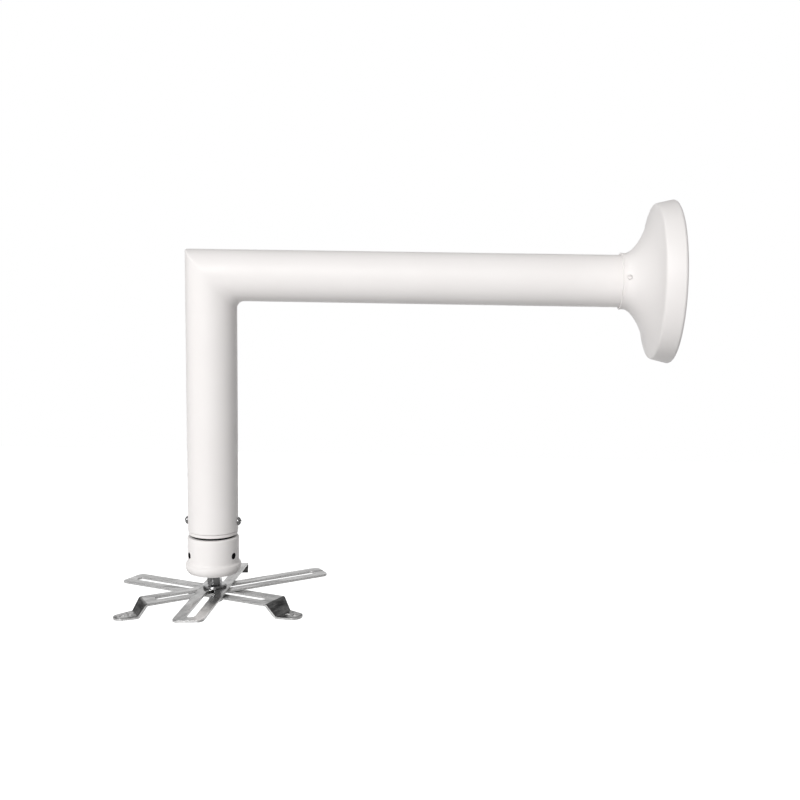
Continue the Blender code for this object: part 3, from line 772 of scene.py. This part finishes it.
def threaded(name, radius, pitch, low, high, segments):
    """A rod with a thread: a fine cylinder whose radius falls and rises along a helix."""
    depth = THREAD_DEPTH * pitch
    rows = ceil((high - low) / pitch * THREAD_ROWS)
    bm = bmesh.new()
    rings = []
    for j in range(rows + 1):
        z = low + (high - low) * j / rows
        ring = []
        for i in range(segments):
            turn = 2 * pi * i / segments
            phase = (z / pitch - i / segments) % 1
            ridge = min(1, max(0, abs(phase - 0.5) * 2 * THREAD_SLOPE - THREAD_ROOT))
            r = radius - depth * (1 - ridge)
            ring.append(bm.verts.new((r * cos(turn), r * sin(turn), z)))
        rings.append(ring)
    for a, b in zip(rings, rings[1:]):
        for i in range(segments):
            j = (i + 1) % segments
            bm.faces.new((a[i], a[j], b[j], b[i]))
    bm.faces.new(rings[0][::-1])
    bm.faces.new(rings[-1])
    return finish(name, bm)


def join(target, tool):
    shape(target, tool, "UNION")


def side_screw(name, node, side):
    """A pan-head screw with a cross recess and a fine thread behind its head."""
    seat = TUBE_R + CLEAR
    inner = INSERT_R - INSERT_WALL + CLEAR
    shoulder = seat + SIDE_SCREW_RIM
    top = shoulder + SIDE_SCREW_DOME
    dome_r = (SIDE_SCREW_HEAD_R ** 2 + SIDE_SCREW_DOME ** 2) / (2 * SIDE_SCREW_DOME)
    dome = arc((0, top - dome_r), dome_r, asin(1 - SIDE_SCREW_DOME / dome_r), pi / 2, 14)
    edge = SIDE_SCREW_RIM / 4
    flange = [(0, seat), (SIDE_SCREW_HEAD_R - edge, seat), (SIDE_SCREW_HEAD_R, seat + edge)]
    head = turned(name, flange + dome, MEDIUM, HARDWARE)
    x, y = SIDE_SCREW_CROSS[0] / 2, SIDE_SCREW_CROSS[1] / 2
    slot = [(-x, -y), (x, -y), (x, y), (-x, y)]
    for turn in (pi / 4, -pi / 4):
        bar = prism("cutter", slot, top - SIDE_SCREW_CROSS_DEPTH, top + OVERCUT)
        bar.rotation_euler.z = turn
        shape(head, bar)
    join(head, threaded("cutter", SIDE_SCREW_R, SIDE_SCREW_PITCH, inner, seat + edge, SMALL))
    smooth(head)
    stand_for(head, node, side_screw_place(side))


# Head

def tube_insert():
    """A sleeve held in the tube, its visible ring, and the spigot that the cup turns on, black
    below the ring as painted shade in the groove.
    """
    low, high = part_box("tube_insert")
    bore_r = INSERT_R - INSERT_WALL
    ring_z = TUBE_END_Z - INSERT_RING
    ring_top = TUBE_END_Z - INSERT_FLANGE_GAP
    ring = arc((INSERT_FLANGE_R - INSERT_EDGE, ring_top - INSERT_EDGE), INSERT_EDGE, pi / 2, 0, 6)
    ring += arc((INSERT_FLANGE_R - INSERT_FLANGE_ROUND, ring_z + INSERT_FLANGE_ROUND),
                INSERT_FLANGE_ROUND, 0, -pi / 2, 8)
    outside = [(INSERT_R - INSERT_EDGE, high.z), (INSERT_R, high.z - INSERT_EDGE),
               (INSERT_R, ring_top)] + ring
    neck_r = SPIGOT_R - RELIEF_DEPTH
    neck_end = ring_z - RELIEF_WIDTH
    outside += [(neck_r, ring_z), (neck_r, neck_end), (SPIGOT_R, neck_end),
                (SPIGOT_R, CUP_SCREW_Z + VEE_DEPTH), (SPIGOT_R - VEE_DEPTH, CUP_SCREW_Z),
                (SPIGOT_R, CUP_SCREW_Z - VEE_DEPTH), (SPIGOT_R, low.z)]
    seat = sphere_arc(low.z - BALL_CENTRE.z, sqrt(SOCKET_R ** 2 - INSERT_SEAT_R ** 2), 14)
    land_top = seat[-1][1] + INSERT_SEAT_LAND
    bore = [(INSERT_SEAT_R, land_top), (bore_r, land_top + INSERT_SEAT_CONE), (bore_r, high.z)]
    insert = place(turned("tube_insert_coated", outside + seat + bore, FINE, WHITE), DROP_AXIS)
    for side in (1, -1):
        hole = rod(SIDE_SCREW_R + CLEAR, bore_r - OVERCUT, INSERT_R + OVERCUT)
        shape(insert, place(hole, side_screw_place(side)))
    # Painted shade: the ring's underside and all below it take the black, so that the groove under
    # the ring looks dark
    insert.data.materials.append(BLACK)
    for face in insert.data.polygons:
        face.material_index = int(face.center.z < ring_z + CLEAR / 10)
    smooth(insert)
    stand_for(insert, "tube_insert")


def cup_screw_places():
    """Local +Z points out of the cup, to each of its screws in turn."""
    middle = DROP_AXIS @ Matrix.Translation((0, 0, CUP_SCREW_Z))
    for i in range(CUP_SCREWS):
        turn = FIRST_CUP_SCREW + 2 * pi * i / CUP_SCREWS
        yield middle @ facing((cos(turn), sin(turn), 0))


def cup():
    """A turned socket: rounded lip, straight bore, beaded foot and the ball's lower seat."""
    lip = arc((CUP_R - CUP_LIP_ROUND, CUP_TOP_Z - CUP_LIP_ROUND), CUP_LIP_ROUND, pi / 2, 0, 14)
    crease = (CUP_R + CUP_CREASE_OUT, CUP_BASE_Z + CUP_CREASE_HEIGHT)
    crease_handle = (crease[0] - CUP_CREASE_HANDLE[0], crease[1] + CUP_CREASE_HANDLE[1])
    flare_z = CUP_BASE_Z + CUP_FLARE_HEIGHT
    flare = bezier((CUP_R, flare_z), (CUP_R, flare_z - CUP_FLARE_HANDLE), crease_handle, crease, 12)
    foot = (CUP_R - CUP_FOOT_IN, CUP_BASE_Z + CUP_FOOT_EDGE)
    bead_handles = [(CUP_R + CUP_BEAD_OUT, CUP_BASE_Z + height) for height in CUP_BEAD_HEIGHTS]
    bead = bezier(crease, *bead_handles, foot, 24)
    base = arc((foot[0] - CUP_FOOT_EDGE, foot[1]), CUP_FOOT_EDGE, 0, -pi / 2, 6)
    seat = sphere_arc(-sqrt(SOCKET_R ** 2 - CUP_SEAT_R ** 2), -CUP_FLOOR_BELOW_BALL, 12)
    bore = [(CUP_BORE_R, seat[-1][1]), (CUP_BORE_R, CUP_TOP_Z)]
    profile = lip + flare + bead[1:] + base[1:] + [(CUP_MOUTH_R, CUP_BASE_Z)] + seat + bore
    made = place(turned("cup_coated", profile, FINE, WHITE), DROP_AXIS)
    for spot in cup_screw_places():
        hole = rod(CUP_SCREW_R + CLEAR, CUP_BORE_R - OVERCUT, CUP_R + OVERCUT)
        shape(made, place(hole, spot))
    smooth(made, CUP_SHARP)
    stand_for(made, "cup")
    for i, spot in enumerate(cup_screw_places()):
        name = f"cup_screw_{i + 1}"
        screw = set_screw(f"{name}_black", CUP_SCREW_R, SPIGOT_R + CLEAR, CUP_R - CUP_SCREW_RECESS,
                          CUP_SCREW_SOCKET, CUP_SCREW_CONE, BLACK, CUP_R - CLEAR)
        stand_for(screw, name, spot)


# The tilted frame of all that hangs on the ball
HEAD = Matrix.Translation(BALL_CENTRE) @ facing(STUD_AXIS)


def ball_stud():
    """A polished ball on a threaded stud; the origin is the ball's centre."""
    low = extent("ball_stud", BALL_CENTRE, STUD_AXIS)[0]
    ball = arc((0, 0), BALL_R, pi / 2, asin(STUD_NECK_R / BALL_R) - pi / 2, 48)
    neck_z = ball[-1][1]
    neck = [(STUD_NECK_R, neck_z - CLEAR), (0, neck_z - CLEAR)]
    made = turned("ball_stud_steel", ball + neck, MEDIUM, STEEL)
    bolt = threaded("cutter", STUD_R, STUD_PITCH, low, neck_z + CLEAR, SMALL)
    wide = STUD_R + STUD_TIP / 2
    nose = [(0, low), (STUD_R - STUD_TIP, low), (wide, low + 1.5 * STUD_TIP), (wide, 0), (0, 0)]
    shape(bolt, turned("cutter", nose, SMALL), "INTERSECT")
    join(made, bolt)
    smooth(made)
    stand_for(made, "ball_stud", HEAD)


def hex_nut(name, node, turn=0.0, rise=0.0):
    """A hex nut with worn corners, chamfered rims and a bore that is countersunk."""
    low, high, _ = extent(node, BALL_CENTRE, STUD_AXIS)
    high += rise
    nut = prism(name, hexagon(HEX_FLATS), low - OVERCUT, high + OVERCUT, HARDWARE)
    soften(nut, NUT_CORNER_R, segments=4)
    face_r = HEX_FLATS / 2 - NUT_FACE_IN
    reach = HEX_FLATS / sqrt(3) + OVERCUT
    chamfer = (reach - face_r) * tan(NUT_CHAMFER)
    barrel = [(0, low), (face_r, low), (reach, low + chamfer), (reach, high - chamfer),
              (face_r, high), (0, high)]
    shape(nut, turned("cutter", barrel, MEDIUM), "INTERSECT")
    wide = STUD_HOLE_R + 2 * CLEAR
    bore = [(0, low - OVERCUT), (wide + OVERCUT, low - OVERCUT), (STUD_HOLE_R, low + 2 * CLEAR),
            (STUD_HOLE_R, high - 2 * CLEAR), (wide + OVERCUT, high + OVERCUT), (0, high + OVERCUT)]
    shape(nut, turned("cutter", bore, MEDIUM))
    soften(nut, STRAP_EDGE / 2, NUT_SHARP)
    stand_for(nut, node, HEAD @ Matrix.Rotation(turn, 4, "Z"))


def washer(name, node):
    """A stamped washer: one edge rolled over, the other sharper."""
    low, high, radius = extent(node, BALL_CENTRE, STUD_AXIS)
    top = arc((radius - WASHER_ROLL, high - WASHER_ROLL), WASHER_ROLL, pi / 2, 0, 6)
    edge = WASHER_EDGE / 2
    base = arc((radius - edge, low + edge), edge, 0, -pi / 2, 3)
    inner = WASHER_ROLL / 2
    bore = arc((STUD_HOLE_R + inner, high - inner), inner, pi, pi / 2, 4)
    ring = turned(name, top + base + [(STUD_HOLE_R, low)] + bore, MEDIUM, HARDWARE)
    smooth(ring)
    return ring


def lock_washer():
    """A spring washer, pressed flat, with one slanting split."""
    low, high, radius = extent("lock_washer", BALL_CENTRE, STUD_AXIS)
    ring = washer("lock_washer_plated", "lock_washer")
    x, y = radius + OVERCUT, LOCK_WASHER_SPLIT / 2
    split = prism("cutter", [(0, -y), (x, -y), (x, y), (0, y)], low - high, high - low)
    middle = Matrix.Translation((0, 0, (low + high) / 2))
    shape(ring, place(split, middle @ Matrix.Rotation(LOCK_WASHER_SLANT, 4, "X")))
    smooth(ring)
    stand_for(ring, "lock_washer", HEAD)


def strap_outline():
    """Seen from above, from the flat end at x = 0 to the tongue's round end."""
    half = STRAP_WIDTH / 2
    foot = WEB_FOOT_WIDTH / 2
    tongue = STRAP_FLAT + WEB_RUN
    end = tongue + TONGUE_LENGTH - TONGUE_END_R
    taper = (foot - TONGUE_END_R) / (end - tongue)
    side = arc((STRAP_CORNER_R, half - STRAP_CORNER_R), STRAP_CORNER_R, pi, pi / 2, 12)
    side += [(STRAP_FLAT, half), (tongue, foot)]
    side += arc((end, 0), TONGUE_END_R, pi / 2 - taper, 0, 20)
    return side + [(x, -y) for x, y in side[-2::-1]]


def strap_mesh():
    """Local +X runs from the flat end to the tongue's tip; the flat's top face is at z = 0."""
    tip = STRAP_FLAT + WEB_RUN + TONGUE_LENGTH
    corners = [(-OVERCUT, 0), (STRAP_FLAT, 0), (STRAP_FLAT + WEB_RUN, -WEB_DROP),
               (tip + OVERCUT, -WEB_DROP)]
    top = rounded(corners, [BEND_R + STRAP_THICK, BEND_R], 10)
    half = STRAP_WIDTH / 2 + OVERCUT
    strap = prism("strap", top + offset(top, STRAP_THICK)[::-1], -half, half, STRAP_METAL)
    strap.data.transform(Matrix.Rotation(pi / 2, 4, "X"))
    depth = WEB_DROP + STRAP_THICK + OVERCUT
    shape(strap, prism("cutter", strap_outline(), -depth, OVERCUT), "INTERSECT")

    r = SLOT_WIDTH / 2
    slot = arc((SLOT_FROM_END + r, 0), r, pi / 2, 3 * pi / 2, 24)
    slot += arc((STRAP_FLAT - SLOT_FROM_BEND - r, 0), r, -pi / 2, pi / 2, 24)
    shape(strap, prism("cutter", slot, -depth, OVERCUT))
    for i in range(TONGUE_HOLES):
        hole = rod(TONGUE_HOLE_R, -depth, OVERCUT)
        hole.location.x = tip - TONGUE_HOLE_FROM_TIP - i * TONGUE_HOLE_PITCH
        shape(strap, hole)
    soften(strap, STRAP_EDGE, STRAP_SHARP)
    mesh = strap.data
    mesh.materials.append(CUT_EDGE)
    for face in mesh.polygons:
        face.material_index = int(abs(face.normal.z) < CUT_EDGE_SLOPE)
    bpy.data.objects.remove(strap)
    return mesh


def straps():
    """Each strap lies where its node does: its slide's axis is its length."""
    mesh = strap_mesh()
    for rank in ("upper", "middle", "lower"):
        node = f"strap_{rank}"
        along = Vector(JOINTS[f"{rank}_slide"]["axis"]).normalized()
        across = STUD_AXIS.cross(along)
        flat_end = extent(node, BALL_CENTRE, along)[0]
        top = extent(node, BALL_CENTRE, STUD_AXIS)[1]
        turn = Matrix((along, across, STUD_AXIS)).transposed().to_4x4()
        spot = Matrix.Translation(BALL_CENTRE + along * flat_end + STUD_AXIS * top)
        strap = bpy.data.objects.new(f"{node}_plated", mesh.copy())
        bpy.context.scene.collection.objects.link(strap)
        stand_for(strap, node, spot @ turn)


# Studio

def camera():
    """The photo's viewpoint, turned, tipped and rolled as its picture is."""
    forward = Vector((sin(CAMERA_AZIMUTH) * cos(CAMERA_DOWN),
                      cos(CAMERA_AZIMUTH) * cos(CAMERA_DOWN), -sin(CAMERA_DOWN)))
    level = Vector((cos(CAMERA_AZIMUTH), -sin(CAMERA_AZIMUTH), 0))
    rise = level.cross(forward)
    right = level * cos(CAMERA_ROLL) + rise * sin(CAMERA_ROLL)
    up = rise * cos(CAMERA_ROLL) - level * sin(CAMERA_ROLL)
    lens = bpy.data.cameras.new("camera")
    lens.lens = CAMERA_LENS
    lens.sensor_width = CAMERA_SENSOR
    lens.clip_start = CAMERA_NEAR
    view = bpy.data.objects.new("camera", lens)
    bpy.context.scene.collection.objects.link(view)
    turn = Matrix((right, up, -forward)).transposed().to_4x4()
    view.matrix_world = Matrix.Translation(CAMERA_EYE) @ turn
    bpy.context.scene.camera = view


def seen_directly(tree):
    """1 for camera, mirror and glass rays, which show the plain white background."""
    path = tree.nodes.new("ShaderNodeLightPath")
    total = path.outputs["Is Camera Ray"]
    for name in ("Is Glossy Ray", "Is Transmission Ray"):
        total = combine(tree, "MAXIMUM", total, path.outputs[name])
    return total


def dim_in_front(tree, y, span):
    """1, but in a mirror, where the room in front of the backdrop's white light is dim."""
    path = tree.nodes.new("ShaderNodeLightPath")
    tone = remap(tree, y, *span, ROOM_TONE, 1.0, True)
    return remap(tree, path.outputs["Is Glossy Ray"], 0.0, 1.0, 1.0, tone)


def world():
    """Soft ambient light, and what sees it directly meets a white backdrop under a dim ceiling."""
    made = bpy.data.worlds.new("studio")
    bpy.context.scene.world = made
    made.use_nodes = True
    tree = made.node_tree
    background = tree.nodes["Background"]
    background.inputs["Color"].default_value = (1.0, 1.0, 1.0, 1.0)
    coords = tree.nodes.new("ShaderNodeTexCoord")
    axes = tree.nodes.new("ShaderNodeSeparateXYZ")
    tree.links.new(coords.outputs["Generated"], axes.inputs["Vector"])
    ceiling = remap(tree, axes.outputs["X"], -1.0, 1.0, CEILING_LEFT, CEILING_RIGHT)
    backdrop = dim_in_front(tree, axes.outputs["Y"], ROOM_SIDE)
    studio = remap(tree, axes.outputs["Z"], BACKDROP_TOP, CEILING_FROM, backdrop, ceiling, True)
    ambient = remap(tree, axes.outputs["Y"], 0.0, 1.0, AMBIENT, AMBIENT_BEHIND)
    level = remap(tree, seen_directly(tree), 0.0, 1.0, ambient, studio)
    tree.links.new(level, background.inputs["Strength"])


def floor():
    """A pale floor far below, which brightens into the backdrop and keeps the mount's shadow, with
    painted shadow in its dimmer glow near the head.
    """
    bm = bmesh.new()
    signs = ((-1, -1), (1, -1), (1, 1), (-1, 1))
    bm.faces.new([bm.verts.new((x * FLOOR_HALF, y * FLOOR_HALF, FLOOR_Z)) for x, y in signs])
    made, shader = new_material("floor_white", (FLOOR_TONE, FLOOR_TONE, FLOOR_TONE), 0.9, 0.0)
    tree = made.node_tree
    coords = tree.nodes.new("ShaderNodeTexCoord")
    away = tree.nodes.new("ShaderNodeVectorMath")
    away.operation = "DISTANCE"
    away.inputs[1].default_value = (-ARM_REACH, 0, FLOOR_Z)
    tree.links.new(coords.outputs["Object"], away.inputs[0])
    # Painted shadow: the glow is lower near the point under the head
    white = remap(tree, away.outputs["Value"], FLOOR_GLOW_FROM, FLOOR_GLOW_TO,
                  FLOOR_GLOW_SHADED_NEAR, FLOOR_GLOW_FAR, True)
    axes = tree.nodes.new("ShaderNodeSeparateXYZ")
    tree.links.new(coords.outputs["Object"], axes.inputs["Vector"])
    dim = dim_in_front(tree, axes.outputs["Y"], ROOM_FLOOR)
    tree.links.new(remap(tree, dim, 0.0, 1.0, 0.0, FLOOR_TONE), shader.inputs["Base Color"])
    glow = remap(tree, seen_directly(tree), 0.0, 1.0, 0.0, combine(tree, "MULTIPLY", white, dim))
    shader.inputs["Emission Color"].default_value = (1.0, 1.0, 1.0, 1.0)
    tree.links.new(glow, shader.inputs["Emission Strength"])
    finish("floor", bm, made)


def lamps():
    """A large soft key from the upper left front, a weak fill from the left and a low glint."""
    for name, (spot, side, watts) in LAMPS.items():
        light = bpy.data.lights.new(name, "AREA")
        light.shape = "RECTANGLE"
        light.size = light.size_y = side
        light.energy = watts
        item = bpy.data.objects.new(name, light)
        bpy.context.scene.collection.objects.link(item)
        item.location = spot
        turn = (Vector(LAMP_AIM) - Vector(spot)).to_track_quat("-Z", "Y")
        item.rotation_euler = turn.to_euler()


camera()
world()
floor()
lamps()
arm_tube()
wall_plate()
wall_cover()
cover_screw()
side_screw("side_screw_right_plated", "side_screw_right", 1)
side_screw("side_screw_left_plated", "side_screw_left", -1)
tube_insert()
cup()
ball_stud()
hex_nut("upper_nut_plated", "upper_nut", UPPER_NUT_TURN, UPPER_NUT_RISE)
hex_nut("lower_nut_plated", "lower_nut")
for each in ("upper_washer", "lower_washer"):
    stand_for(washer(f"{each}_plated", each), each, HEAD)
lock_washer()
straps()

bpy.context.scene.view_settings.view_transform = "Standard"
